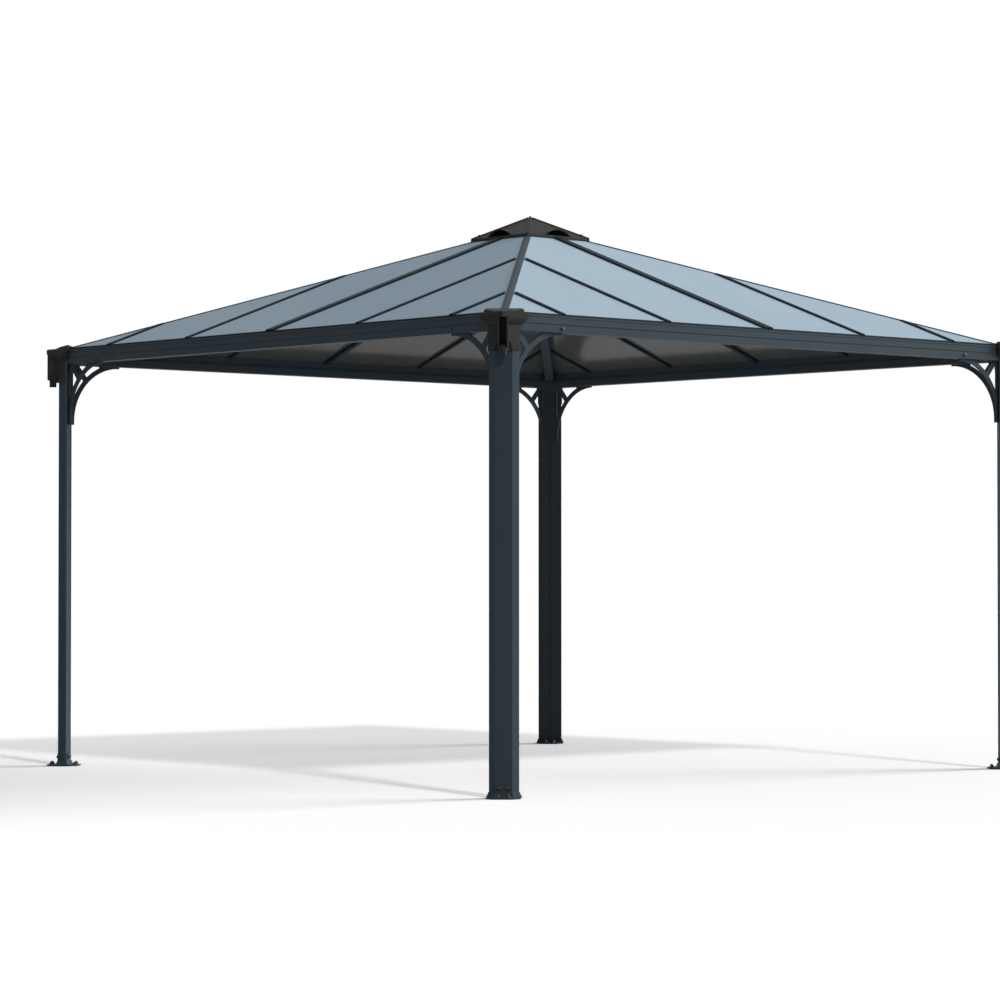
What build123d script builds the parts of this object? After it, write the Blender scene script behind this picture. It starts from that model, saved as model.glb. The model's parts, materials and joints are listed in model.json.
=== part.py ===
from build123d import *
import os
from math import atan, cos, degrees, radians, sin, sqrt, tan

# Open garden gazebo, four diagonal posts under a hipped pyramid roof, in millimetres.
# The origin is on the ground under the roof's peak, +Z is up, the walls lie along X and Y.
# A corner is worked out in (d, t): d runs outward along the plan diagonal, t runs across it.

# Posts: extruded planks set across the plan diagonals
post_reach = 2424.0
post_width = 134.0
post_flat_width = 78.0
post_depth = 48.0
post_wall = 3.0
post_edge_groove = 4.0
post_rib_gap = 7.0
post_rib_depth = 3.0
post_strip_width = 15.0
post_strip_step = 2.0

# Eave beams: an open gutter over a closed cell
beam_bottom_height = 2083.0
beam_depth = 69.0
beam_wall = 3.0
beam_cell_height = 39.0
beam_ledge = 9.0
beam_band_height = 30.0
beam_band_recess = 2.5
beam_groove_height = 8.0
beam_groove_depth = 4.0
beam_lip_height = 75.0
beam_lip_bead = 5.0
gutter_gap = 44.0

# Roof covering
roof_pitch = 20.0
eave_rise = 85.0
panel_thickness = 8.0
trim_wall = 1.5
trim_grip = 9.0

# Glazing bars: the middle one of each side is wider
bar_pitch = 670.0
bar_end_margin = 150.0
bar_cap_width = 30.0
bar_cap_height = 8.0
bar_cap_chamfer = 4.0
bar_web = 8.0
bar_body_width = 18.0
bar_body_depth = 12.0
centre_cap_width = 58.0
centre_cap_height = 10.0
centre_body_width = 30.0
centre_body_depth = 16.0

# Hip rafters
hip_strip_width = 35.0
hip_strip_thickness = 3.5
hip_web = 12.0
hip_body_width = 48.0
hip_body_depth = 46.0
hip_flute_width = 10.0
hip_flute_depth = 3.0
hip_flute_count = 3

# Corner joiners, inside the post tops
joiner_thickness = 15.0
joiner_drop = 43.0
joiner_nose = 24.0
joiner_slot_width = 18.0
joiner_slot_height = 6.0
joiner_slot_depth = 4.0
joiner_slot_spacing = 40.0
joiner_slot_rise = 5.0

# Arched braces under the beam ends
brace_radius = 283.5
brace_post_leg = 17.0
brace_beam_leg = 9.5
brace_tail = 18.0
brace_tip = 2.0
brace_band = 25.0
brace_stile = 10.0
brace_rail = 3.0
brace_strut = 28.0
brace_strut_drop = 33.0
brace_strut_angle = 50.0
brace_thickness = 8.0
brace_setback = 20.0
brace_round = 4.0

# Moulded corner caps with rain spouts
cap_plate = 4.0
cap_head_proud = 23.5
cap_edge = 5.0
cap_lip_height = 22.0
cap_bell_height = 36.0
cap_wing_half = 111.0
cap_wing_taper = 39.0
cap_wing_fall = 31.0
cap_wing_round = 26.0
cap_rear_inset = 6.0
cap_lid_rise = 10.5
cap_lid_inset = 9.0
cap_lid_front = 12.0
cap_lid_half = 90.0
cap_lid_round = 12.0
cap_body_drop = 94.0
cap_body_flat = 16.0
cap_side_return = 8.0
spout_head = 27.0
spout_offset = 38.0
spout_width = 50.0
spout_rib = 9.0
spout_rib_proud = 25.0
spout_drop = 82.0
spout_floor = 10.0
stub_radius = 18.0
stub_length = 35.0
stub_bore_radius = 14.0
notch_width = 19.0
notch_height = 48.0

# Feet: a clipped base plate with a flared boot and two tongues
foot_length = 163.0
foot_width = 152.0
foot_clip = 32.0
foot_plate = 7.0
boot_height = 28.0
boot_waist_height = 13.0
boot_flare = 15.0
boot_waist = 8.0
boot_wall = 3.0
tongue_height = 64.0
tongue_width = 72.0
tongue_round = 14.0
anchor_spacing_along = 124.0
anchor_spacing_across = 44.0
anchor_hole_radius = 5.5

# Apex hub and the vented cap over it
hub_reach = 70.0
hub_height = 92.0
hub_boss_radius = 9.0
crown_reach = 216.0
crown_rim_flare = 2.0
crown_rim_height = 14.0
crown_gap = 3.0
crown_height = 110.0
crown_top_half = 6.0
crown_wall = 5.0
crown_ridge_width = 12.0
crown_ridge_height = 3.0
vent_chord = 170.0
vent_rise = 28.0
vent_sill = 2.0
vent_inset = 2.0
vent_sleeve = 45.0
vent_wall = 4.0
finial_radius = 6.0
finial_neck = 3.0
finial_height = 8.0

# Fits
fit_clearance = 0.3
glazing_clearance = 1.0
overrun = 60.0

half_share = 0.5
diagonal_share = sqrt(half_share)
quarter_turn = 90
sides = ("front", "right", "back", "left")
corners = ("front_right", "back_right", "back_left", "front_left")

# Places worked out from the sizes above
post_outer = post_reach + post_depth / 2
post_inner = post_reach - post_depth / 2
post_seat = post_inner + post_strip_step
post_half = post_width / 2
post_bevel = (post_width - post_flat_width) / 2
post_face = (post_outer + post_flat_width / 2) * diagonal_share
beam_face = (post_inner + post_half) * diagonal_share
beam_inner = beam_face - beam_depth
beam_end = (post_inner - post_half) * diagonal_share - fit_clearance
eave_reach = beam_face - gutter_gap
pitch_tan = tan(radians(roof_pitch))
pitch_cos = cos(radians(roof_pitch))
hip_tan = pitch_tan * diagonal_share
hip_angle = degrees(atan(hip_tan))
hip_cos = cos(radians(hip_angle))
panel_drop = panel_thickness / pitch_cos
peak_height = beam_bottom_height + eave_rise + eave_reach * pitch_tan
hip_body_drop = panel_thickness + hip_tan * hip_cos * hip_body_width / 2 + hip_body_depth
post_top = peak_height - post_outer * hip_tan - panel_drop
cap_top = beam_bottom_height + beam_lip_height + fit_clearance + cap_plate
roof_plane = Plane(origin=(0, 0, peak_height), x_dir=(1, 0, 0),
                   z_dir=(0, -sin(radians(roof_pitch)), pitch_cos))


def corner_point(d, t):
    """Plan point of the front right corner, from its diagonal and cross distances."""
    return ((d + t) * diagonal_share, (t - d) * diagonal_share)


def plan_face(points):
    """Flat face from plan points."""
    return make_face(Polyline(*points, close=True))


def corner_face(half_points):
    """Plan face of the front right corner, from the (d, t) points of its positive half."""
    mirrored = [(d, -t) for d, t in reversed(half_points)]
    return plan_face([corner_point(d, t) for d, t in half_points + mirrored])


def prism(face, low, high):
    """Upright solid over a plan face."""
    return extrude(Pos(0, 0, low) * face, amount=high - low)


def turned(shape, quarters):
    """A shape carried round the vertical axis to another side or corner."""
    return Rot(0, 0, quarter_turn * quarters) * shape


def across_diagonal(shape):
    """Mirror image on the other wall of the front right corner."""
    return mirror(shape, about=Plane(origin=(0, 0, 0), z_dir=(1, 1, 0)))


def post_outline(grow):
    """Positive half of the post's outer side, grown outward, from the middle to its inner edge."""
    flat = post_flat_width / 2 + grow * (sqrt(2) - 1)
    side = post_half + grow
    outer = post_outer + grow
    return [(outer, flat), (outer - (side - flat), side)]


def post():
    """Hollow plank: a flat front between two bevels, edge grooves and a ribbed inner face."""
    bevel_end = post_outer - post_bevel
    groove = post_edge_groove
    strip = post_half - post_strip_width
    outline = post_outline(0) + [
        (bevel_end - groove / 2, post_half),
        (bevel_end - groove / 2, post_half - groove / 2),
        (bevel_end - groove * 3 / 2, post_half - groove / 2),
        (bevel_end - groove * 3 / 2, post_half),
        (post_inner, post_half),
        (post_inner, strip),
        (post_inner + post_strip_step, strip),
        (post_inner + post_strip_step, post_rib_gap / 2),
        (post_inner + post_strip_step + post_rib_depth, post_rib_gap / 2),
    ]
    cell_flat = post_flat_width / 2 - post_wall * (sqrt(2) - 1)
    cell_side = post_half - groove / 2 - post_wall
    cell_inner = post_inner + post_strip_step + post_rib_depth + post_wall
    cell = [
        (post_outer - post_wall, cell_flat),
        (post_outer - post_wall - (cell_side - cell_flat), cell_side),
        (cell_inner, cell_side),
    ]
    section = corner_face(outline) - corner_face(cell)
    return prism(section, foot_plate, post_top)


def foot():
    """Base plate with four anchor holes, a flared boot and two screw tongues."""
    half_long = foot_length / 2
    half_wide = foot_width / 2
    plate_half = [
        (post_reach + half_long, half_wide - foot_clip),
        (post_reach + half_long - foot_clip, half_wide),
        (post_reach - half_long + foot_clip, half_wide),
        (post_reach - half_long, half_wide - foot_clip),
    ]
    solid = prism(corner_face(plate_half), 0, foot_plate)
    levels = ((foot_plate, boot_flare), (boot_waist_height, boot_waist), (boot_height, boot_wall))
    rings = [Pos(0, 0, height) * boot_face(grow) for height, grow in levels]
    solid += loft(rings, ruled=True)
    solid += tongue(post_outer, boot_wall)
    solid += tongue(post_inner - boot_wall, boot_wall)
    solid -= prism(boot_face(fit_clearance), foot_plate, tongue_height + overrun)
    for along in (-anchor_spacing_along / 2, anchor_spacing_along / 2):
        for across in (-anchor_spacing_across / 2, anchor_spacing_across / 2):
            x, y = corner_point(post_reach + along, across)
            hole = Cylinder(anchor_hole_radius, foot_plate + overrun)
            solid -= Pos(x, y, foot_plate / 2) * hole
    return solid


def boot_face(grow):
    """Plan face that the boot follows round the post."""
    return corner_face(post_outline(grow) + [(post_inner - grow, post_half + grow)])


def tongue(start, thickness):
    """Upright tab against the flat of the post, with rounded shoulders."""
    tab = span(-tongue_width / 2, tongue_width / 2, 0, tongue_height)
    tab = fillet(tab.vertices().sort_by(Axis.Y)[-2:], tongue_round)
    return extrude(outward_plane(start) * tab, amount=thickness)


def panel_under(reach):
    """Height of the panels' underside at a plan distance from the middle."""
    return peak_height - reach * pitch_tan - panel_drop


def eave_beam():
    """Gutter extrusion of the front side: banded outer face, bead lip, roof seat and closed cell."""
    seat_out = beam_ledge + beam_wall
    floor = beam_cell_height - beam_wall
    low_face = beam_depth - beam_band_recess
    groove_top = beam_band_height + beam_groove_height
    lip_under = beam_lip_height - 2 * beam_lip_bead
    inside = beam_depth - beam_wall - beam_band_recess
    outline = [
        (0, 0),
        (low_face, 0),
        (low_face, beam_band_height),
        (beam_depth - beam_groove_depth, beam_band_height + beam_groove_depth),
        (beam_depth, groove_top),
        (beam_depth, lip_under),
        (beam_depth + beam_lip_bead / 2, lip_under + beam_lip_bead / 2),
        (beam_depth + beam_lip_bead / 2, beam_lip_height - beam_lip_bead / 2),
        (beam_depth, beam_lip_height),
        (inside, beam_lip_height),
        (inside, floor),
        (seat_out, floor),
        (seat_out, panel_under(beam_inner + seat_out) - beam_bottom_height),
        (beam_ledge, panel_under(beam_inner + beam_ledge) - beam_bottom_height),
        (beam_ledge, beam_cell_height),
        (0, beam_cell_height),
    ]
    cell = [
        (beam_wall, beam_wall),
        (low_face - beam_wall, beam_wall),
        (low_face - beam_wall, floor - beam_wall),
        (beam_wall, floor - beam_wall),
    ]
    plane = Plane(origin=(beam_end, -beam_inner, beam_bottom_height), x_dir=(0, -1, 0), z_dir=(-1, 0, 0))
    section = plan_face(outline) - plan_face(cell)
    return extrude(plane * section, amount=2 * beam_end)


def span(left, right, low, high):
    """Rectangle sketch between two pairs of limits."""
    return Pos((left + right) / 2, (low + high) / 2) * Rectangle(right - left, high - low)


def braces():
    """Pair of arched castings in the angles between one post and its two beams."""
    arch_along = brace_post_leg + brace_radius
    arch_down = brace_beam_leg + brace_radius
    along = arch_along + brace_tip
    down = arch_down + brace_tail
    arch = Pos(arch_along, arch_down) * Circle(brace_radius)
    arch += span(arch_along, along + overrun, brace_beam_leg, down + overrun)
    arch += span(brace_post_leg, along + overrun, arch_down, down + overrun)
    web = span(-brace_thickness - post_strip_step, along, 0, down) - arch
    window = span(brace_stile, along, brace_rail, arch_down)
    window -= Pos(arch_along, arch_down) * Circle(brace_radius + brace_band)
    window -= span(arch_along, along + overrun, 0, down)
    strut = Rot(0, 0, brace_strut_angle) * Rectangle(4 * brace_radius, brace_strut)
    window -= Pos(arch_along, arch_down + brace_strut_drop) * strut
    window = offset(window, amount=-brace_round, kind=Kind.INTERSECTION)
    window = offset(window, amount=brace_round, kind=Kind.ARC)
    outer_face = beam_face - brace_setback
    post_edge = post_inner / diagonal_share - outer_face
    plane = Plane(origin=(post_edge, -outer_face, beam_bottom_height), x_dir=(-1, 0, 0), z_dir=(0, -1, 0))
    casting = extrude(plane * (web - window), amount=-brace_thickness)
    room = prism(corner_face([(post_seat, post_half), (0, post_half + post_seat)]), 0, beam_bottom_height)
    first = casting & room
    return [first, across_diagonal(first)]


def joiner():
    """Bracket behind a post top: a slotted wedge between the braces and a block between the beam ends."""
    inner = post_inner - joiner_thickness
    brace_inner = beam_face - brace_setback - brace_thickness - fit_clearance
    wedge = [
        (post_seat, brace_inner / diagonal_share - post_seat),
        (inner, brace_inner / diagonal_share - inner),
    ]
    low = beam_bottom_height - joiner_drop
    solid = prism(corner_face(wedge), low, beam_bottom_height)
    slot_low = low + joiner_slot_rise
    for middle in (-joiner_slot_spacing / 2, joiner_slot_spacing / 2):
        slot = span(middle - joiner_slot_width / 2, middle + joiner_slot_width / 2,
                    slot_low, slot_low + joiner_slot_height)
        solid -= extrude(outward_plane(inner) * slot, amount=joiner_slot_depth)
    block_edge = beam_end + fit_clearance
    nose = block_edge / diagonal_share + joiner_nose
    block = [
        (post_inner, post_inner - block_edge / diagonal_share),
        (nose, nose - block_edge / diagonal_share),
    ]
    solid += prism(corner_face(block), beam_bottom_height, peak_height)
    return solid - hip_space()


def hip_plane(start):
    """Section plane of the front right hip, square to the hip line, at a diagonal distance."""
    x, y = corner_point(start, 0)
    direction = (diagonal_share, -diagonal_share, -hip_tan)
    return Plane(origin=(x, y, peak_height - start * hip_tan), x_dir=(1, 1, 0), z_dir=direction)


def mirrored_face(half_points):
    """Symmetric section from the points of its positive half, top to bottom."""
    return plan_face(half_points + [(-x, y) for x, y in reversed(half_points)])


def fall(width):
    """Drop of a roof plane below the hip line, square to the hip, at a distance across it."""
    return hip_tan * hip_cos * width


def hip_section():
    """Cap strip over the panels, web between them and fluted body under them."""
    strip = hip_strip_width / 2
    web = hip_web / 2
    body = hip_body_width / 2
    under = panel_thickness + fit_clearance
    section = mirrored_face([
        (0, hip_strip_thickness),
        (strip, hip_strip_thickness - fall(strip)),
        (strip, -fall(strip)),
        (web, -fall(web)),
        (web, -under - fall(web)),
        (body, -under - fall(body)),
        (body, -hip_body_drop),
    ])
    spacing = hip_body_width / hip_flute_count
    for index in range(hip_flute_count):
        across = (index - (hip_flute_count - 1) / 2) * spacing
        groove = Rectangle(hip_flute_width, 2 * hip_flute_depth)
        section -= Pos(across, -hip_body_drop) * groove
    return section


def hip_rafter():
    """Front right hip rafter, from the apex hub down to the post's inner face."""
    start = hub_reach - overrun
    length = (post_inner - start + overrun) / hip_cos
    rafter = extrude(hip_plane(start) * hip_section(), amount=length)
    near = hub_reach + fit_clearance
    far = post_inner - fit_clearance
    rafter &= prism(corner_face([(far, hip_body_width), (near, hip_body_width)]), 0, 2 * peak_height)
    side = beam_end + fit_clearance
    inner = beam_inner - fit_clearance
    notch = plan_face([(0, -inner), (side, -inner), (side, -2 * inner), (0, -2 * inner)])
    beam_corner = prism(notch, 0, panel_under(beam_inner + beam_ledge) + fit_clearance)
    return rafter - beam_corner - across_diagonal(beam_corner)


def hip_space():
    """Room that the front right hip rafter takes over its corner joiner."""
    start = post_inner - 2 * post_width
    block = Pos(0, peak_height / 2 - hip_body_drop) * Rectangle(2 * post_width, peak_height)
    return extrude(hip_plane(start) * block, amount=4 * post_width)


def sector(gap):
    """Upright wedge of space over the front side, held off both hips."""
    far = eave_reach + overrun
    return prism(plan_face([(0, -gap), (-far, -gap - far), (far, -gap - far)]), 0, 2 * peak_height)


def clear_of_hub():
    """Space over the front side that starts at the flat of the apex hub."""
    limit = hub_reach + fit_clearance
    return Pos(0, -limit - peak_height, 0) * Box(2 * peak_height, 2 * peak_height, 4 * peak_height)


def bar_places():
    """Distances of the glazing bars from the middle of a side."""
    each_way = int((eave_reach - bar_end_margin) // bar_pitch)
    return [index * bar_pitch for index in range(-each_way, each_way + 1)]


def bar_section(cap_width, cap_height, body_width, body_depth):
    """Cap over the panels, web between them and body under them."""
    under = -panel_thickness - fit_clearance
    return mirrored_face([
        (cap_width / 2 - bar_cap_chamfer, cap_height),
        (cap_width / 2, cap_height - bar_cap_chamfer),
        (cap_width / 2, 0),
        (bar_web / 2, 0),
        (bar_web / 2, under),
        (body_width / 2, under),
        (body_width / 2, under - body_depth),
    ])


def glazing_bars():
    """Bars of the front side, trimmed to the hips, the hub and the beam."""
    eave = -eave_reach / pitch_cos
    hips = sector((hip_body_width / 2 + fit_clearance) / diagonal_share)
    room = hips & clear_of_hub()
    beam_room = beam_inner - fit_clearance
    under_eave = extrude(roof_plane * Pos(0, eave, -panel_thickness) * Rectangle(
        2 * eave_reach, 2 * (gutter_gap + beam_depth)), amount=-2 * eave_rise)
    under_eave &= Pos(0, -beam_room - eave_reach, 0) * Box(2 * eave_reach, 2 * eave_reach, 4 * peak_height)
    bars = []
    for place in bar_places():
        sizes = (bar_cap_width, bar_cap_height, bar_body_width, bar_body_depth)
        if place == 0:
            sizes = (centre_cap_width, centre_cap_height, centre_body_width, centre_body_depth)
        origin = roof_plane.from_local_coords((place, eave, 0))
        plane = Plane(origin=origin, x_dir=(-1, 0, 0), z_dir=roof_plane.y_dir)
        bar = extrude(plane * bar_section(*sizes), amount=-eave)
        bars.append((bar & room) - under_eave)
    return bars


def strip_edges():
    """Left and right edges of the roof panels of one side."""
    places = [-eave_reach] + bar_places() + [eave_reach]
    clear = bar_web / 2 + glazing_clearance
    return [(left + clear, right - clear) for left, right in zip(places, places[1:])]


def roof_panels():
    """Panels of the front side, trimmed to the webs of the hips."""
    eave = -eave_reach / pitch_cos
    room = sector((hip_web / 2 + glazing_clearance) / diagonal_share) & clear_of_hub()
    panels = []
    for left, right in strip_edges():
        sheet = Pos((left + right) / 2, eave / 2) * Rectangle(right - left, -eave)
        panels.append(extrude(roof_plane * sheet, amount=-panel_thickness) & room)
    return panels


def eave_trims():
    """Channels on the lower edges of the panels of the front side, between the bars."""
    eave = -eave_reach / pitch_cos
    outer = eave - trim_wall - fit_clearance
    top = trim_wall + fit_clearance
    low = -panel_thickness - top
    grip = eave + trim_grip
    profile = [
        (outer, low), (grip, low), (grip, low + trim_wall), (outer + trim_wall, low + trim_wall),
        (outer + trim_wall, top - trim_wall), (grip, top - trim_wall), (grip, top), (outer, top),
    ]
    hip_side = max(hip_strip_width, hip_body_width) / 2 + glazing_clearance
    room = sector(hip_side / diagonal_share)
    cap_side = max(bar_cap_width, bar_body_width) / 2
    centre_side = max(centre_cap_width, centre_body_width) / 2
    trims = []
    for left, right in strip_edges():
        clear_left = centre_side if left == bar_web / 2 + glazing_clearance else cap_side
        clear_right = centre_side if right == -bar_web / 2 - glazing_clearance else cap_side
        start = left - bar_web / 2 + clear_left
        end = right + bar_web / 2 - clear_right
        origin = roof_plane.from_local_coords((start, 0, 0))
        plane = Plane(origin=origin, x_dir=roof_plane.y_dir, z_dir=(1, 0, 0))
        trims.append(extrude(plane * plan_face(profile), amount=end - start) & room)
    return trims


def mitred(profile):
    """Corner solid whose two faces follow one (reach, height) profile along both walls."""
    plane = Plane(origin=(0, 0, 0), x_dir=(1, 0, 0), z_dir=(0, -1, 0))
    along = extrude(plane * profile, amount=2 * post_reach)
    return along & across_diagonal(along)


def outward_plane(start):
    """Upright plane square to the plan diagonal, with its origin on the ground, facing outward."""
    return Plane(origin=(*corner_point(start, 0), 0), x_dir=(1, 1, 0), z_dir=(1, -1, 0))


def corner_cap():
    """Moulded cap over a corner: bell-shaped head with a lid, right-angled body and open rain spout."""
    head_reach = post_face + cap_head_proud
    body_reach = post_face + fit_clearance + cap_plate
    lip_low = cap_top - cap_lip_height
    low = lip_low - cap_bell_height
    back = head_reach / 2
    bell = make_face([
        Polyline((body_reach, low), (back, low), (back, cap_top), (head_reach - cap_edge, cap_top),
                 (head_reach, cap_top - cap_edge), (head_reach, lip_low)),
        TangentArc((head_reach, lip_low), (body_reach, low), tangent=(0, -1)),
    ])
    rear = post_inner - cap_rear_inset
    solid = mitred(bell) & shield(rear, low)
    solid += cap_lid(rear, head_reach - cap_lid_inset)
    body_low = beam_bottom_height - cap_body_drop
    side = post_half + fit_clearance + cap_plate
    corner = body_reach / diagonal_share
    body = [
        (corner - cap_body_flat / 2, cap_body_flat / 2),
        (corner - side, side),
        (post_outer - post_bevel - cap_side_return, side),
    ]
    solid += prism(corner_face(body), body_low, lip_low)
    solid -= body_notches(body_low)
    spout_low = beam_bottom_height - spout_drop
    stub_low = spout_low - stub_length
    channel_back = post_outer + fit_clearance + cap_plate
    solid += spout_slab(spout_width / 2, post_outer, spout_low, 0)
    solid -= spout_slab(spout_width / 2 - spout_rib, channel_back, spout_low, overrun)
    solid += spout_bar(stub_radius, stub_low, spout_low + spout_floor)
    solid -= spout_bar(stub_bore_radius, stub_low - overrun, spout_low + overrun)
    return solid - cap_hollow(body_low)


def shield(rear, low):
    """Upright block that bounds a cap's head, as wide as its wings above and as its body below."""
    waist = cap_wing_half - cap_wing_taper
    shoulder = low + cap_wing_fall
    high = 2 * peak_height
    outline = mirrored_face([(cap_wing_half, high), (cap_wing_half, shoulder), (waist, low)])
    outline = fillet(outline.vertices().sort_by(Axis.Y)[2:4], cap_wing_round)
    return extrude(outward_plane(rear) * outline, amount=2 * post_width)


def cap_lid(rear, lid_reach):
    """Cover on a cap's head that falls with the hip, clipped to the head's two faces."""
    front = post_outer + cap_lid_front
    corner = lid_reach / diagonal_share
    plan = corner_face([(front, corner - front), (corner - cap_lid_half, cap_lid_half), (rear, cap_lid_half)])
    section = span(-cap_lid_half, cap_lid_half, -post_depth, cap_lid_rise)
    section = fillet(section.vertices().sort_by(Axis.Y)[-2:], cap_lid_round)
    cover = extrude(hip_plane(rear - post_width) * section, amount=4 * post_width)
    return cover & prism(plan, cap_top - cap_plate, 2 * peak_height)


def body_notches(low):
    """Pointed notches in a cap's body, one each side of its spout."""
    plane = outward_plane(post_outer + fit_clearance + cap_plate)
    start = spout_width / 2
    notch = plan_face([(start, low), (start + notch_width, low), (start, low + notch_height)])
    notch = extrude(plane * notch, amount=2 * post_width)
    return notch + across_diagonal(notch)


def spout_slab(half, back, low, proud):
    """Upright slab down a cap's corner, from a plan distance to the front of its spout or beyond."""
    front = post_outer + spout_offset + spout_rib_proud + proud
    return prism(corner_face([(front, half), (back, half)]), low, cap_top - spout_head)


def spout_bar(radius, low, high):
    """Round bar on a spout's axis, between two heights."""
    x, y = corner_point(post_outer + spout_offset, 0)
    bar = Cylinder(radius, high - low, align=(Align.CENTER, Align.CENTER, Align.MIN))
    return Pos(x, y, low) * bar


def cap_hollow(low):
    """Room inside a corner cap for the post, the beam ends and the end of the hip."""
    back = post_inner / 2
    beam_side = (beam_face + beam_lip_bead / 2 + fit_clearance) / diagonal_share
    edge = post_half + fit_clearance
    plan = corner_face(post_outline(fit_clearance) + [(beam_side - edge, edge), (back, beam_side - back)])
    hollow = prism(plan, low - overrun, cap_top - cap_plate)
    hip_half = hip_strip_width / 2 + glazing_clearance
    hip_end = eave_reach / diagonal_share + glazing_clearance
    section = span(-hip_half, hip_half, -post_depth, cap_lid_rise - cap_plate)
    room = extrude(hip_plane(back) * section, amount=post_inner)
    return hollow + (room & prism(corner_face([(hip_end, hip_half), (back, hip_half)]), low, 2 * peak_height))


def apex_hub():
    """Eight-sided hub that the hips and the middle bars meet, with a boss under the cap."""
    face = Rot(0, 0, quarter_turn / 4) * RegularPolygon(hub_reach, 8, major_radius=False)
    top = peak_height - hub_reach * hip_tan
    boss_top = crown_base() + crown_height - crown_wall - fit_clearance
    boss = Cylinder(hub_boss_radius, boss_top - top, align=(Align.CENTER, Align.CENTER, Align.MIN))
    return prism(face, top - hub_height, top) + Pos(0, 0, top) * boss


def crown_base():
    """Height where the apex cap's rim turns into its slopes."""
    return peak_height - crown_reach * pitch_tan + crown_gap + crown_rim_height


def square(half):
    """Square sketch from its half side."""
    return Rectangle(2 * half, 2 * half)


def pyramid(base_half, top_half, low, high):
    """Four-sided taper between two heights."""
    return loft([Pos(0, 0, low) * square(base_half), Pos(0, 0, high) * square(top_half)], ruled=True)


def vent_hood(chord, rise, low, start, end):
    """Arched block on the front face of the apex cap, between two distances from the middle."""
    arch = make_face([
        Line((-chord / 2, 0), (chord / 2, 0)),
        ThreePointArc((chord / 2, 0), (0, rise), (-chord / 2, 0)),
    ])
    plane = Plane(origin=(0, -start, low), x_dir=(1, 0, 0), z_dir=(0, -1, 0))
    return extrude(plane * arch, amount=end - start)


def apex_cap():
    """Vented cap: flared rim, four slopes with corner ridges and an arched hood out of each face."""
    base = crown_base()
    rim = base - crown_rim_height
    top = base + crown_height
    slope = crown_height / (crown_reach - crown_top_half)
    solid = pyramid(crown_reach, crown_top_half, base, top)
    solid += pyramid(crown_reach + crown_rim_flare, crown_reach, rim, base)
    for quarters in range(4):
        solid += turned(crown_ridge(base, top), quarters)
    inner_top = crown_top_half + crown_wall
    hollow = pyramid(crown_reach - crown_wall, inner_top, base - crown_wall * slope, top - crown_wall)
    hollow += pyramid(crown_reach + crown_rim_flare - crown_wall, crown_reach - crown_wall, rim - crown_wall,
                      base - crown_wall * slope)
    solid -= hollow
    sill = base + vent_sill
    arch_reach = crown_reach - (vent_sill + vent_rise) / slope
    hood_start = arch_reach - vent_sleeve
    hood_end = crown_reach - vent_inset
    sleeve = vent_hood(vent_chord + 2 * vent_wall, vent_rise + vent_wall, sill, hood_start, hood_end)
    over_bars = roof_plane * Pos(0, 0, centre_cap_height + fit_clearance) * square(2 * crown_reach)
    sleeve &= extrude(over_bars, amount=2 * crown_height)
    opening = vent_hood(vent_chord, vent_rise, sill, hub_reach, crown_reach + overrun)
    for quarters in range(4):
        solid += turned(sleeve, quarters)
    bar_room = centre_cap_height / pitch_cos + fit_clearance
    bar_notch = Box(centre_cap_width + 2 * fit_clearance, crown_reach, bar_room)
    bar_notch = roof_plane * Pos(0, -crown_reach, bar_room / 2) * bar_notch
    hip_notch = Rectangle(hip_strip_width + 2 * fit_clearance, 2 * hip_strip_width)
    hip_notch = Pos(0, hip_strip_thickness + fit_clearance - hip_strip_width) * hip_notch
    hip_notch = extrude(hip_plane(crown_reach) * hip_notch, amount=crown_reach)
    for quarters in range(4):
        solid -= turned(opening, quarters)
        solid -= turned(bar_notch, quarters)
        solid -= turned(hip_notch, quarters)
    stem = Cylinder(finial_neck + fit_clearance, 2 * crown_height)
    return solid - Pos(0, 0, top) * stem


def crown_ridge(base, top):
    """Raised strip down the front right edge of the apex cap."""
    foot_x, foot_y = crown_reach, -crown_reach
    tip = crown_top_half
    start = Vector(foot_x, foot_y, base)
    run = Vector(tip, -tip, top) - start
    plane = Plane(origin=start, x_dir=(1, 1, 0), z_dir=run)
    return extrude(plane * Rectangle(crown_ridge_width, 2 * crown_ridge_height), amount=run.length)


def finial():
    """Small turned button on the cap, with a stem into the hub's boss."""
    top = crown_base() + crown_height
    stem_low = top - crown_wall
    profile = make_face([
        Polyline((0, stem_low), (finial_neck, stem_low), (finial_neck, top), (finial_radius, top),
                 (finial_radius, top + finial_height / 2)),
        Spline((finial_radius, top + finial_height / 2), (0, top + finial_height),
               tangents=((0, 1), (-1, 0))),
        Line((0, top + finial_height), (0, stem_low)),
    ])
    upright = Plane(origin=(0, 0, 0), x_dir=(1, 0, 0), z_dir=(0, -1, 0))
    return revolve(upright * profile, axis=Axis.Z)


def write(name, solids):
    """One STEP file for a node, from one solid or several that don't touch."""
    shape = solids[0] if len(solids) == 1 else Compound(children=solids)
    export_step(shape, os.path.join("parts", name + ".step"))


os.makedirs("parts", exist_ok=True)

corner_pieces = {
    "post": [post()],
    "foot": [foot()],
    "corner_joiner": [joiner()],
    "corner_braces": braces(),
    "corner_cap": [corner_cap()],
    "hip_rafter": [hip_rafter()],
}
side_pieces = {
    "eave_beam": [eave_beam()],
    "glazing_bars": glazing_bars(),
    "roof_panels": roof_panels(),
    "eave_trims": eave_trims(),
}
for quarters, corner in enumerate(corners):
    for piece, solids in corner_pieces.items():
        write(piece + "_" + corner, [turned(solid, quarters) for solid in solids])
for quarters, side in enumerate(sides):
    for piece, solids in side_pieces.items():
        write(piece + "_" + side, [turned(solid, quarters) for solid in solids])
write("apex_hub", [apex_hub()])
write("apex_cap", [apex_cap()])
write("finial", [finial()])
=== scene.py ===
import json
from math import pi, radians

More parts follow.
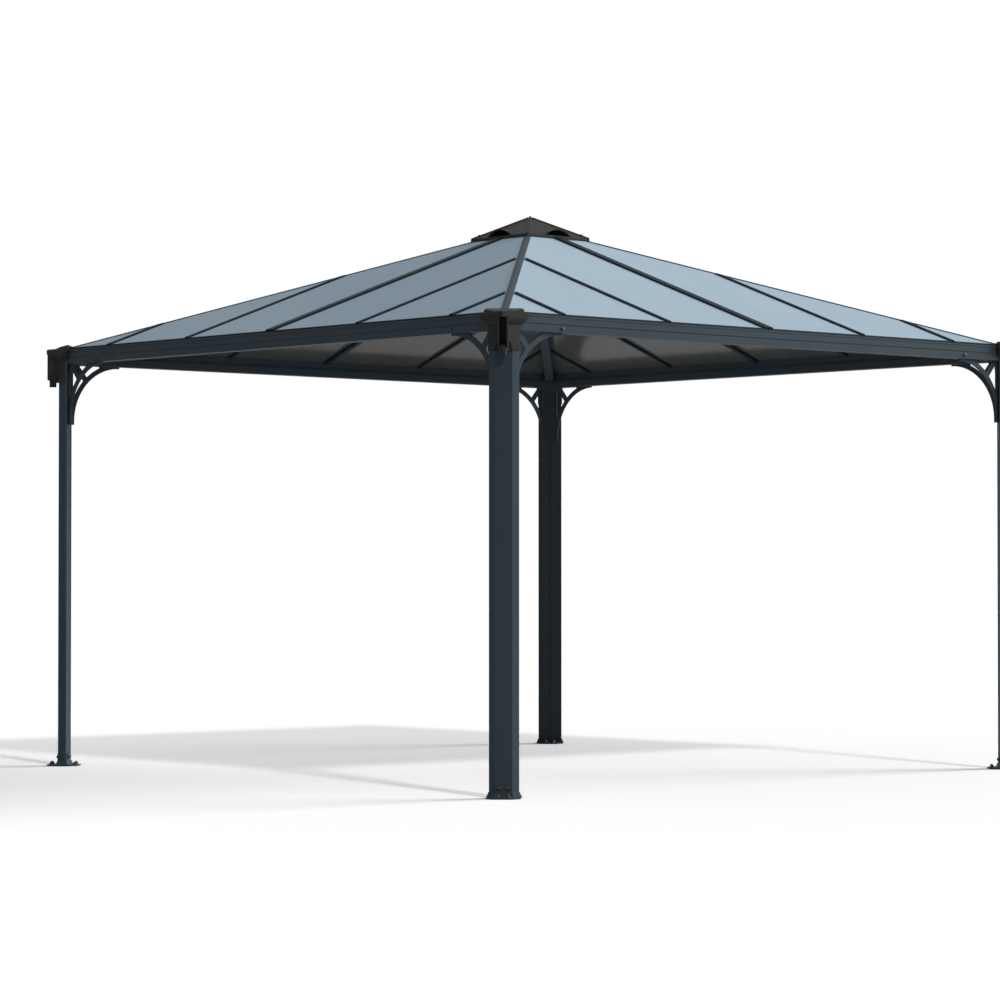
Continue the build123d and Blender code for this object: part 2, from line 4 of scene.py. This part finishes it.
import bpy
from mathutils import Euler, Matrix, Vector


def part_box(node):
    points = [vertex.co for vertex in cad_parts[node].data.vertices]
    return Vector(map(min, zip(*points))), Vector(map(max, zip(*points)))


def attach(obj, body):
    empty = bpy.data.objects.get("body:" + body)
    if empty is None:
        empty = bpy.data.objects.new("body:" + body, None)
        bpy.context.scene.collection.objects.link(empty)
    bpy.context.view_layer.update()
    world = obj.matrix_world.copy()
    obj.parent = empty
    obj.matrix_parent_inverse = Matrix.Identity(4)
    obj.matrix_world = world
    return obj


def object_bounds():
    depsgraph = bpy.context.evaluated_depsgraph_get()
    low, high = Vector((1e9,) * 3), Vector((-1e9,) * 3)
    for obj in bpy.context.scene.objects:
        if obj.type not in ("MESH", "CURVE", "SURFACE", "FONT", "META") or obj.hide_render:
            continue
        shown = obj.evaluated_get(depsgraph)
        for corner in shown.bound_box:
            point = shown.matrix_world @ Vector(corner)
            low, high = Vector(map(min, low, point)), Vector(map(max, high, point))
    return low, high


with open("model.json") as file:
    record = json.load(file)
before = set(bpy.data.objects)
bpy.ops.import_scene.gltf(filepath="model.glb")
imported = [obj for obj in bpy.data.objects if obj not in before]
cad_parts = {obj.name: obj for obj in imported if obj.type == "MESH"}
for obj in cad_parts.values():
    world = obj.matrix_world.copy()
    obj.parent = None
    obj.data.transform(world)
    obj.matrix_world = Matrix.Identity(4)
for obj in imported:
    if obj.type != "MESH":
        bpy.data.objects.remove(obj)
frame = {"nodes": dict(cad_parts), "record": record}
cad_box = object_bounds()
nodes = frame["nodes"]
mounts = frame["record"]["mounts"]
scene = bpy.context.scene

CORNERS = ("front_right", "back_right", "back_left", "front_left")
SIDES = ("front", "right", "back", "left")
QUARTER_TURN = pi / 2.0
MILLIMETRE = 0.001

# Camera, as the photograph was taken
CAMERA_PLACE = (12.976, -11.781, 1.009)
CAMERA_YAW = 48.272
CAMERA_PITCH = 1.200
LEVEL_TILT = 90.0
FOCAL_PIXELS = 3397.6
IMAGE_PIXELS = 1000.0
SENSOR_WIDTH = 36.0
CAMERA_FAR = 200.0

# Light: a key from the right, a broad soft light from behind it, and an even sky
KEY_FROM = (0.74, -0.20, 0.64)
KEY_STRENGTH = 0.9
KEY_SOFTNESS = 6.0
SIDE_FROM = (0.36, 0.90, 0.28)
SIDE_STRENGTH = 3.8
SIDE_SOFTNESS = 40.0
SKY_STRENGTH = 0.22
SKY_COLOUR = (0.90, 0.98, 1.07, 1.0)
WHITE = (1.0, 1.0, 1.0, 1.0)

# Floor: what it gives back to the frame, and what the camera sees of it
FLOOR_SIZE = 120.0
FLOOR_BOUNCE = (0.70, 0.70, 0.70, 1.0)
FLOOR_SEEN = (1.41, 1.365, 1.335, 1.0)

# Grain: the detail of its three noises, and the part of a noise that a mask uses
SHADE_DETAIL = 4.0
FINE_DETAIL = 2.0
LINE_DETAIL = 3.0
LINE_SCALE = 1.0
NOISE_LOW = 0.3
NOISE_HIGH = 0.7

# Each finish has two tones between which it varies, noise scales, a range of roughness, and a
# relief given as its depth in metres and its strength

# Powder coat of the frame, and darker tones for the glazing bars that are painted shade: the shade along
# their sides, painted over the whole bar
FRAME_TONES = ((0.041, 0.055, 0.066), (0.050, 0.067, 0.079))
BAR_PAINTED_SHADE_TONES = ((0.011, 0.020, 0.027), (0.015, 0.027, 0.036))
COAT_BROAD = 1.2
COAT_FINE = 420.0
COAT_LINES_ACROSS = 300.0
COAT_LINES_ALONG = 3.0
COAT_LINE_SHARE = 0.45
COAT_ROUGHNESS = (0.50, 0.62)
COAT_SHINE = 0.03
COAT_RELIEF = (0.0002, 0.25)

# Moulded plastic of the caps
PLASTIC_TONES = ((0.025, 0.025, 0.024), (0.034, 0.034, 0.033))
PLASTIC_BROAD = 9.0
PLASTIC_FINE = 650.0
PLASTIC_ROUGHNESS = (0.42, 0.58)
PLASTIC_SHINE = 0.03
PLASTIC_RELIEF = (0.0002, 0.35)

# Roof sheets, with darker tones on their underside that are painted shade, and a gloss on their underside
SHEET_TOP_TONES = ((0.400, 0.500, 0.580), (0.455, 0.560, 0.640))
SHEET_UNDER_PAINTED_SHADE_TONES = ((0.060, 0.060, 0.059), (0.092, 0.092, 0.090))
SHEET_BROAD = 0.8
SHEET_FINE = 110.0
SHEET_LINES_ACROSS = 90.0
SHEET_LINES_ALONG = 2.0
SHEET_LINE_SHARE = 0.35
SHEET_ROUGHNESS = (0.62, 0.72)
SHEET_SHINE = 0.01
SHEET_RELIEF = (0.0003, 0.15)
SHEET_GLAZE = 0.33
SHEET_GLAZE_ROUGHNESS = 0.16

# Blackened zinc of the fasteners
ZINC_TONES = ((0.012, 0.014, 0.016), (0.030, 0.034, 0.038))
ZINC_BROAD = 60.0
ZINC_FINE = 900.0
ZINC_ROUGHNESS = (0.30, 0.45)
ZINC_METALLIC = 0.6
ZINC_RELIEF = (0.0001, 0.3)

# Sizes of the fasteners, in metres
EDGE_BREAK = 0.0009
EDGE_SEGMENTS = 2
SCREW_SIDES = 24
SCREW_FLANGE = 0.0078
SCREW_FLANGE_HEIGHT = 0.0014
SCREW_HEAD = 0.0060
SCREW_HEIGHT = 0.0044
SCREW_ROUND = 0.00242
SCREW_ROUND_SEGMENTS = 4
SCREW_SOCKET = 0.0026
SCREW_SOCKET_DEPTH = 0.0020
WASHER_SIDES = 28
WASHER_RADIUS = 0.0115
WASHER_HEIGHT = 0.0025
NUT_SIDES = 6
NUT_RADIUS = 0.0096
NUT_HEIGHT = 0.0080
STUD_SIDES = 16
STUD_RADIUS = 0.0048
STUD_HEIGHT = 0.0065
LEVEL_FACE = 0.9
TOP_SLACK = EDGE_BREAK / 4.0
SMOOTH_ANGLE = 35.0

# Places of the fasteners, in metres
FOOT_SCREW_HEIGHT = 0.0465
FOOT_SCREW_OFFSET = 0.022
BEAM_SCREW_PLACE = 1.385
BEAM_SCREW_RISE = 0.0165
APEX_SCREW_PLACE = 0.187
APEX_SCREW_SINK = 0.0036
BESIDE_HOLE_SHARE = 1.3
PROBE_REACH = 0.9
DOWN = (0.0, 0.0, -1.0)


def place_camera():
    """Camera at the photograph's place."""
    data = bpy.data.cameras.new("camera")
    camera = bpy.data.objects.new("camera", data)
    scene.collection.objects.link(camera)
    camera.location = CAMERA_PLACE
    camera.rotation_euler = (radians(LEVEL_TILT + CAMERA_PITCH), 0.0, radians(CAMERA_YAW))
    data.sensor_fit = "HORIZONTAL"
    data.sensor_width = SENSOR_WIDTH
    data.lens = SENSOR_WIDTH * FOCAL_PIXELS / IMAGE_PIXELS
    data.clip_end = CAMERA_FAR
    scene.camera = camera


def add_sun(name, source, strength, softness):
    """Parallel light that comes from a direction."""
    data = bpy.data.lights.new(name, "SUN")
    data.energy = strength
    data.angle = radians(softness)
    sun = bpy.data.objects.new(name, data)
    scene.collection.objects.link(sun)
    sun.rotation_euler = (-Vector(source)).to_track_quat("-Z", "Y").to_euler()


def seen_mask(tree):
    """Mask that is one for what the camera sees, straight on, in a reflection or through glass."""
    path = tree.nodes.new("ShaderNodeLightPath")
    mask = path.outputs["Is Camera Ray"]
    for name in ("Is Glossy Ray", "Is Transmission Ray"):
        either = tree.nodes.new("ShaderNodeMath")
        either.operation = "MAXIMUM"
        tree.links.new(mask, either.inputs[0])
        tree.links.new(path.outputs[name], either.inputs[1])
        mask = either.outputs[0]
    return mask


def mix_shaders(tree, mask, low, high):
    """One shader where the mask is zero and another where it is one."""
    mix = tree.nodes.new("ShaderNodeMixShader")
    tree.links.new(mask, mix.inputs[0])
    tree.links.new(low, mix.inputs[1])
    tree.links.new(high, mix.inputs[2])
    return mix.outputs[0]


def light_the_set():
    """Key, side light and an even sky that the camera sees as white."""
    add_sun("key", KEY_FROM, KEY_STRENGTH, KEY_SOFTNESS)
    add_sun("side", SIDE_FROM, SIDE_STRENGTH, SIDE_SOFTNESS)
    world = bpy.data.worlds.new("studio")
    scene.world = world
    world.use_nodes = True
    tree = world.node_tree
    tree.nodes.clear()
    out = tree.nodes.new("ShaderNodeOutputWorld")
    lit = tree.nodes.new("ShaderNodeBackground")
    lit.inputs["Color"].default_value = SKY_COLOUR
    lit.inputs["Strength"].default_value = SKY_STRENGTH
    seen = tree.nodes.new("ShaderNodeBackground")
    seen.inputs["Color"].default_value = WHITE
    surface = mix_shaders(tree, seen_mask(tree), lit.outputs[0], seen.outputs[0])
    tree.links.new(surface, out.inputs["Surface"])


def lay_floor():
    """Plain pale floor that keeps the shadow, lifted to white where it is seen."""
    bpy.ops.mesh.primitive_plane_add(size=FLOOR_SIZE)
    floor = bpy.context.object
    floor.name = "floor"
    material = bpy.data.materials.new("floor_white")
    material.use_nodes = True
    tree = material.node_tree
    tree.nodes.clear()
    out = tree.nodes.new("ShaderNodeOutputMaterial")
    bounce = tree.nodes.new("ShaderNodeBsdfDiffuse")
    bounce.inputs["Color"].default_value = FLOOR_BOUNCE
    pale = tree.nodes.new("ShaderNodeBsdfDiffuse")
    pale.inputs["Color"].default_value = FLOOR_SEEN
    surface = mix_shaders(tree, seen_mask(tree), bounce.outputs[0], pale.outputs[0])
    tree.links.new(surface, out.inputs["Surface"])
    floor.data.materials.append(material)


def socket(group, name, kind, way, value=None):
    """One named input or output of a shader group."""
    made = group.interface.new_socket(name=name, in_out=way, socket_type="NodeSocket" + kind)
    if value is not None:
        made.default_value = value


def noise(tree, place, scale, detail):
    """Noise over a place, at a scale."""
    node = tree.nodes.new("ShaderNodeTexNoise")
    node.inputs["Detail"].default_value = detail
    tree.links.new(place, node.inputs["Vector"])
    tree.links.new(scale, node.inputs["Scale"])
    return node.outputs["Fac"]


def grain_group():
    """Broad shade, fine grain and lines along a length, for every finish here."""
    group = bpy.data.node_groups.new("surface_grain", "ShaderNodeTree")
    socket(group, "Broad Scale", "Float", "INPUT")
    socket(group, "Fine Scale", "Float", "INPUT")
    socket(group, "Line Scale", "Float", "INPUT", LINE_SCALE)
    socket(group, "Line Stretch", "Vector", "INPUT")
    for name in ("Shade", "Grain", "Lines"):
        socket(group, name, "Float", "OUTPUT")
    inputs = group.nodes.new("NodeGroupInput")
    outputs = group.nodes.new("NodeGroupOutput")
    place = group.nodes.new("ShaderNodeTexCoord").outputs["Object"]
    stretched = group.nodes.new("ShaderNodeVectorMath")
    stretched.operation = "MULTIPLY"
    group.links.new(place, stretched.inputs[0])
    group.links.new(inputs.outputs["Line Stretch"], stretched.inputs[1])
    shade = noise(group, place, inputs.outputs["Broad Scale"], SHADE_DETAIL)
    fine = noise(group, place, inputs.outputs["Fine Scale"], FINE_DETAIL)
    lines = noise(group, stretched.outputs[0], inputs.outputs["Line Scale"], LINE_DETAIL)
    for result, name in ((shade, "Shade"), (fine, "Grain"), (lines, "Lines")):
        group.links.new(result, outputs.inputs[name])
    return group


def new_material(name):
    """Empty node material with its Principled shader."""
    material = bpy.data.materials.new(name)
    material.use_nodes = True
    return material, material.node_tree, material.node_tree.nodes["Principled BSDF"]


def add_group(tree, group, **values):
    """A shader group placed in a material with its own values."""
    node = tree.nodes.new("ShaderNodeGroup")
    node.node_tree = group
    for name, value in values.items():
        node.inputs[name.replace("_", " ")].default_value = value
    return node


def mix_colours(tree, factor, low, high):
    """Colour between two tones, by a mask."""
    node = tree.nodes.new("ShaderNodeMix")
    node.data_type = "RGBA"
    for name, tone in (("A", low), ("B", high)):
        if isinstance(tone, tuple):
            node.inputs[name].default_value = (*tone, 1.0)
        else:
            tree.links.new(tone, node.inputs[name])
    tree.links.new(factor, node.inputs["Factor"])
    return node.outputs["Result"]


def spread(tree, value, low, high):
    """A mask stretched to a range."""
    node = tree.nodes.new("ShaderNodeMapRange")
    node.inputs["From Min"].default_value = NOISE_LOW
    node.inputs["From Max"].default_value = NOISE_HIGH
    node.inputs["To Min"].default_value = low
    node.inputs["To Max"].default_value = high
    tree.links.new(value, node.inputs["Value"])
    return node.outputs["Result"]


def blend(tree, first, second, share):
    """Weighted mean of two masks."""
    node = tree.nodes.new("ShaderNodeMix")
    node.inputs["Factor"].default_value = share
    tree.links.new(first, node.inputs["A"])
    tree.links.new(second, node.inputs["B"])
    return node.outputs["Result"]


def tone_by(tree, mask, tones):
    """Colour that goes from one tone to the other as a mask rises."""
    low, high = tones
    return mix_colours(tree, spread(tree, mask, 0.0, 1.0), low, high)


def bump(tree, height, shader, distance, strength):
    """Surface relief from a height."""
    node = tree.nodes.new("ShaderNodeBump")
    node.inputs["Distance"].default_value = distance
    node.inputs["Strength"].default_value = strength
    tree.links.new(height, node.inputs["Height"])
    tree.links.new(node.outputs["Normal"], shader.inputs["Normal"])


def feel(tree, texture, shader, roughness, relief):
    """Roughness and relief, both from the fine grain."""
    fine = texture.outputs["Grain"]
    tree.links.new(spread(tree, fine, *roughness), shader.inputs["Roughness"])
    bump(tree, fine, shader, *relief)


def powder_coat(grain, name, stretch, tones):
    """Satin powder coat in blue-black grey, with orange peel and faint lines along the extrusion."""
    material, tree, shader = new_material("powder_coat_" + name)
    texture = add_group(tree, grain, Broad_Scale=COAT_BROAD, Fine_Scale=COAT_FINE, Line_Stretch=stretch)
    mask = blend(tree, texture.outputs["Shade"], texture.outputs["Lines"], COAT_LINE_SHARE)
    tree.links.new(tone_by(tree, mask, tones), shader.inputs["Base Color"])
    shader.inputs["Specular IOR Level"].default_value = COAT_SHINE
    feel(tree, texture, shader, COAT_ROUGHNESS, COAT_RELIEF)
    return material


def moulded_plastic(grain):
    """Black-grey moulded plastic with a fine grain."""
    material, tree, shader = new_material("moulded_plastic")
    texture = add_group(tree, grain, Broad_Scale=PLASTIC_BROAD, Fine_Scale=PLASTIC_FINE)
    tree.links.new(tone_by(tree, texture.outputs["Shade"], PLASTIC_TONES), shader.inputs["Base Color"])
    shader.inputs["Specular IOR Level"].default_value = PLASTIC_SHINE
    feel(tree, texture, shader, PLASTIC_ROUGHNESS, PLASTIC_RELIEF)
    return material


def top_mask(tree):
    """Mask that is one on faces that look up and zero on faces that look down."""
    geometry = tree.nodes.new("ShaderNodeNewGeometry")
    split = tree.nodes.new("ShaderNodeSeparateXYZ")
    tree.links.new(geometry.outputs["True Normal"], split.inputs["Vector"])
    facing = tree.nodes.new("ShaderNodeMath")
    facing.operation = "GREATER_THAN"
    facing.inputs[1].default_value = 0.0
    tree.links.new(split.outputs["Z"], facing.inputs[0])
    return facing.outputs[0]


def roof_sheet(grain, name, stretch):
    """Roof sheet: blue-grey above with faint flutes down the fall, and glossy below, where its dark grey
    is painted shade.
    """
    material, tree, shader = new_material("roof_sheet_" + name)
    texture = add_group(tree, grain, Broad_Scale=SHEET_BROAD, Fine_Scale=SHEET_FINE, Line_Stretch=stretch)
    mask = blend(tree, texture.outputs["Shade"], texture.outputs["Lines"], SHEET_LINE_SHARE)
    above = tone_by(tree, mask, SHEET_TOP_TONES)
    # Faces that look down take the darker tones, a painted shade of the sheet
    below = tone_by(tree, texture.outputs["Grain"], SHEET_UNDER_PAINTED_SHADE_TONES)
    top = top_mask(tree)
    tree.links.new(mix_colours(tree, top, below, above), shader.inputs["Base Color"])
    glaze = tree.nodes.new("ShaderNodeMath")
    glaze.operation = "MULTIPLY_ADD"
    glaze.inputs[1].default_value = -SHEET_GLAZE
    glaze.inputs[2].default_value = SHEET_GLAZE
    tree.links.new(top, glaze.inputs[0])
    tree.links.new(glaze.outputs[0], shader.inputs["Coat Weight"])
    shader.inputs["Coat Roughness"].default_value = SHEET_GLAZE_ROUGHNESS
    shader.inputs["Specular IOR Level"].default_value = SHEET_SHINE
    feel(tree, texture, shader, SHEET_ROUGHNESS, SHEET_RELIEF)
    return material


def zinc(grain):
    """Blackened zinc of the screws and anchors."""
    material, tree, shader = new_material("dark_zinc")
    texture = add_group(tree, grain, Broad_Scale=ZINC_BROAD, Fine_Scale=ZINC_FINE)
    tree.links.new(tone_by(tree, texture.outputs["Shade"], ZINC_TONES), shader.inputs["Base Color"])
    shader.inputs["Metallic"].default_value = ZINC_METALLIC
    feel(tree, texture, shader, ZINC_ROUGHNESS, ZINC_RELIEF)
    return material


def dress_frame(grain):
    """Each CAD node gets the finish of its material slot, with lines along its own length."""
    along_x = (COAT_LINES_ALONG, COAT_LINES_ACROSS, COAT_LINES_ACROSS)
    along_y = (COAT_LINES_ACROSS, COAT_LINES_ALONG, COAT_LINES_ACROSS)
    upright = (COAT_LINES_ACROSS, COAT_LINES_ACROSS, COAT_LINES_ALONG)
    coats = {
        "upright": powder_coat(grain, "upright", upright, FRAME_TONES),
        "along_x": powder_coat(grain, "along_x", along_x, FRAME_TONES),
        "along_y": powder_coat(grain, "along_y", along_y, FRAME_TONES),
        # The glazing bars take the darker tones, a painted shade
        "bars_along_x": powder_coat(grain, "bars_along_x", along_x, BAR_PAINTED_SHADE_TONES),
        "bars_along_y": powder_coat(grain, "bars_along_y", along_y, BAR_PAINTED_SHADE_TONES),
    }
    sheets = {
        "along_x": roof_sheet(grain, "side", (SHEET_LINES_ALONG, SHEET_LINES_ACROSS, SHEET_LINES_ALONG)),
        "along_y": roof_sheet(grain, "front", (SHEET_LINES_ACROSS, SHEET_LINES_ALONG, SHEET_LINES_ALONG)),
    }
    plastic = moulded_plastic(grain)
    for row in frame["record"]["subparts"]:
        name = row["node"]
        side = name.split("_")[-1]
        lengthwise = "along_x" if side in ("front", "back") else "along_y"
        fallwise = "along_y" if side in ("front", "back") else "along_x"
        if row["material_slot"] == "roof_sheet":
            finish = sheets[fallwise]
        elif row["material_slot"] == "cap_plastic":
            finish = plastic
        elif name.startswith(("eave_beam", "eave_trims")):
            finish = coats[lengthwise]
        elif name.startswith("glazing_bars"):
            finish = coats["bars_" + fallwise]
        else:
            finish = coats["upright"]
        mesh = nodes[name].data
        mesh.materials.clear()
        mesh.materials.append(finish)


def clear_selection():
    """Nothing selected, so that an operator acts on what comes next alone."""
    bpy.ops.object.select_all(action="DESELECT")


def open_faces():
    """Open the active piece for editing with no face selected."""
    bpy.ops.object.mode_set(mode="EDIT")
    bpy.ops.mesh.select_mode(type="FACE")
    bpy.ops.mesh.select_all(action="DESELECT")


def pick_top(piece):
    """In edit mode, select the faces at the top that are level or nearly so."""
    bpy.ops.object.mode_set(mode="OBJECT")
    top = max(corner.co.z for corner in piece.data.vertices)
    for face in piece.data.polygons:
        face.select = face.normal.z > LEVEL_FACE and face.center.z > top - TOP_SLACK
    bpy.ops.object.mode_set(mode="EDIT")


def add_disc(sides, radius, low, height):
    """Short upright prism from a height, as the start of a turned or six-sided piece."""
    clear_selection()
    bpy.ops.mesh.primitive_cylinder_add(vertices=sides, radius=radius, depth=height,
                                        location=(0.0, 0.0, low + height / 2.0))
    bpy.ops.object.transform_apply(location=True, rotation=True, scale=True)
    return bpy.context.object


def join_pieces(pieces, name):
    """Several meshes made one."""
    clear_selection()
    for piece in pieces:
        piece.select_set(True)
    bpy.context.view_layer.objects.active = pieces[0]
    bpy.ops.object.join()
    whole = bpy.context.object
    whole.name = name
    return whole


def raise_top(rise):
    """In edit mode, extrude the selected faces up or down."""
    bpy.ops.mesh.extrude_region_move(TRANSFORM_OT_translate={"value": (0.0, 0.0, rise)})


def model_screw():
    """Screw with a flange, a wide rounded head and a driver socket, standing on the origin."""
    flange_break = EDGE_BREAK / 2.0
    screw = add_disc(SCREW_SIDES, SCREW_FLANGE, 0.0, SCREW_FLANGE_HEIGHT)
    open_faces()
    pick_top(screw)
    bpy.ops.mesh.bevel(offset=flange_break, segments=EDGE_SEGMENTS, affect="EDGES")
    pick_top(screw)
    bpy.ops.mesh.inset(thickness=SCREW_FLANGE - SCREW_HEAD - flange_break)
    raise_top(SCREW_HEIGHT)
    bpy.ops.mesh.bevel(offset=SCREW_ROUND, segments=SCREW_ROUND_SEGMENTS, affect="EDGES")
    pick_top(screw)
    bpy.ops.mesh.inset(thickness=SCREW_HEAD - SCREW_ROUND - SCREW_SOCKET)
    raise_top(-SCREW_SOCKET_DEPTH)
    bpy.ops.object.mode_set(mode="OBJECT")
    return screw


def model_anchor():
    """Ground anchor: washer, six-sided nut and the end of its stud."""
    pieces = []
    level = 0.0
    for sides, radius, height in ((WASHER_SIDES, WASHER_RADIUS, WASHER_HEIGHT),
                                  (NUT_SIDES, NUT_RADIUS, NUT_HEIGHT),
                                  (STUD_SIDES, STUD_RADIUS, STUD_HEIGHT)):
        piece = add_disc(sides, radius, level, height)
        open_faces()
        pick_top(piece)
        bpy.ops.mesh.bevel(offset=EDGE_BREAK, segments=EDGE_SEGMENTS, affect="EDGES")
        bpy.ops.object.mode_set(mode="OBJECT")
        pieces.append(piece)
        level += height
    return join_pieces(pieces, "anchor_model")


def seat(node, start, direction):
    """Point and normal where a straight line first meets a CAD node."""
    hit, spot, normal, _ = nodes[node].ray_cast(Vector(start), Vector(direction).normalized())
    assert hit, "no seat on " + node
    return spot, normal


def carried(quarters, point):
    """A point or direction of the front side, or of the front right corner, carried round to another."""
    moved = Vector(point)
    moved.rotate(Euler((0.0, 0.0, quarters * QUARTER_TURN)))
    return moved


def corner_axes(quarters):
    """Outward and cross directions of a corner."""
    outward = carried(quarters, (1.0, -1.0, 0.0)).normalized()
    across = carried(quarters, (1.0, 1.0, 0.0)).normalized()
    return outward, across


def foot_screw_seats():
    """Two screws on each tongue of each foot."""
    seats = []
    for quarters, corner in enumerate(CORNERS):
        outward, across = corner_axes(quarters)
        low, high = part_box("post_" + corner)
        middle = (Vector(low) + Vector(high)) / 2.0
        for shift in (-FOOT_SCREW_OFFSET, FOOT_SCREW_OFFSET):
            level = Vector((middle.x, middle.y, FOOT_SCREW_HEIGHT)) + across * shift
            for way in (outward, -outward):
                seats.append(seat("foot_" + corner, level + way * PROBE_REACH, -way))
    return seats


def anchor_seats():
    """One anchor at each hole of the feet, on the level of the base plate beside the hole."""
    seats = []
    for mount in mounts:
        if mount["kind"] != "bolt_pattern":
            continue
        corner = mount["name"][len("anchors_"):].rsplit("_", 1)[0]
        outward, across = corner_axes(CORNERS.index(corner))
        half = mount["dims"]["pcd_mm"] * MILLIMETRE / 2.0
        beside = outward * mount["dims"]["hole_r_mm"] * MILLIMETRE * BESIDE_HOLE_SHARE
        for way in (-1.0, 1.0):
            hole = Vector(mount["pos_m"]) + across * half * way
            start = hole + beside + Vector((0.0, 0.0, PROBE_REACH))
            spot, normal = seat("foot_" + corner, start, DOWN)
            seats.append((Vector((hole.x, hole.y, spot.z)), normal))
    return seats


def beam_screw_seats():
    """Two screws on the lower band of each beam, near its ends."""
    seats = []
    outside = cad_box[0][1] - PROBE_REACH
    for quarters, side in enumerate(SIDES):
        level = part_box("eave_beam_" + side)[0][2] + BEAM_SCREW_RISE
        for place in (-BEAM_SCREW_PLACE, BEAM_SCREW_PLACE):
            start = carried(quarters, (place, outside, level))
            seats.append(seat("eave_beam_" + side, start, carried(quarters, (0.0, 1.0, 0.0))))
    return seats


def apex_screw_seats():
    """One screw near the foot of each ridge of the apex cap, sunk into the ridge."""
    seats = []
    above = cad_box[1][2] + PROBE_REACH
    for quarters in range(len(CORNERS)):
        start = carried(quarters, (APEX_SCREW_PLACE, -APEX_SCREW_PLACE, above))
        spot, normal = seat("apex_cap", start, DOWN)
        seats.append((spot - normal * APEX_SCREW_SINK, normal))
    return seats


def place_copies(model, seats, name, finish):
    """Copies of a fastener, each set on its seat, joined into one piece of the frame."""
    copies = []
    for spot, normal in seats:
        clear_selection()
        model.select_set(True)
        bpy.context.view_layer.objects.active = model
        bpy.ops.object.duplicate()
        copy = bpy.context.object
        copy.location = spot
        copy.rotation_euler = normal.to_track_quat("Z", "Y").to_euler()
        bpy.ops.object.transform_apply(location=True, rotation=True, scale=True)
        copies.append(copy)
    piece = join_pieces(copies, name)
    piece.data.name = name
    bpy.ops.object.shade_smooth_by_angle(angle=radians(SMOOTH_ANGLE))
    piece.data.materials.clear()
    piece.data.materials.append(finish)
    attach(piece, "root")


def fit_fasteners(finish):
    """Screws and anchors, modelled once each and copied to their seats."""
    screw = model_screw()
    place_copies(screw, foot_screw_seats(), "foot_screws", finish)
    place_copies(screw, beam_screw_seats(), "beam_screws", finish)
    place_copies(screw, apex_screw_seats(), "apex_screws", finish)
    anchor = model_anchor()
    place_copies(anchor, anchor_seats(), "anchor_bolts", finish)
    for model in (screw, anchor):
        bpy.data.objects.remove(model)


place_camera()
clear_selection()
light_the_set()
lay_floor()
scene.view_settings.view_transform = "Standard"
grain = grain_group()
dress_frame(grain)
fit_fasteners(zinc(grain))
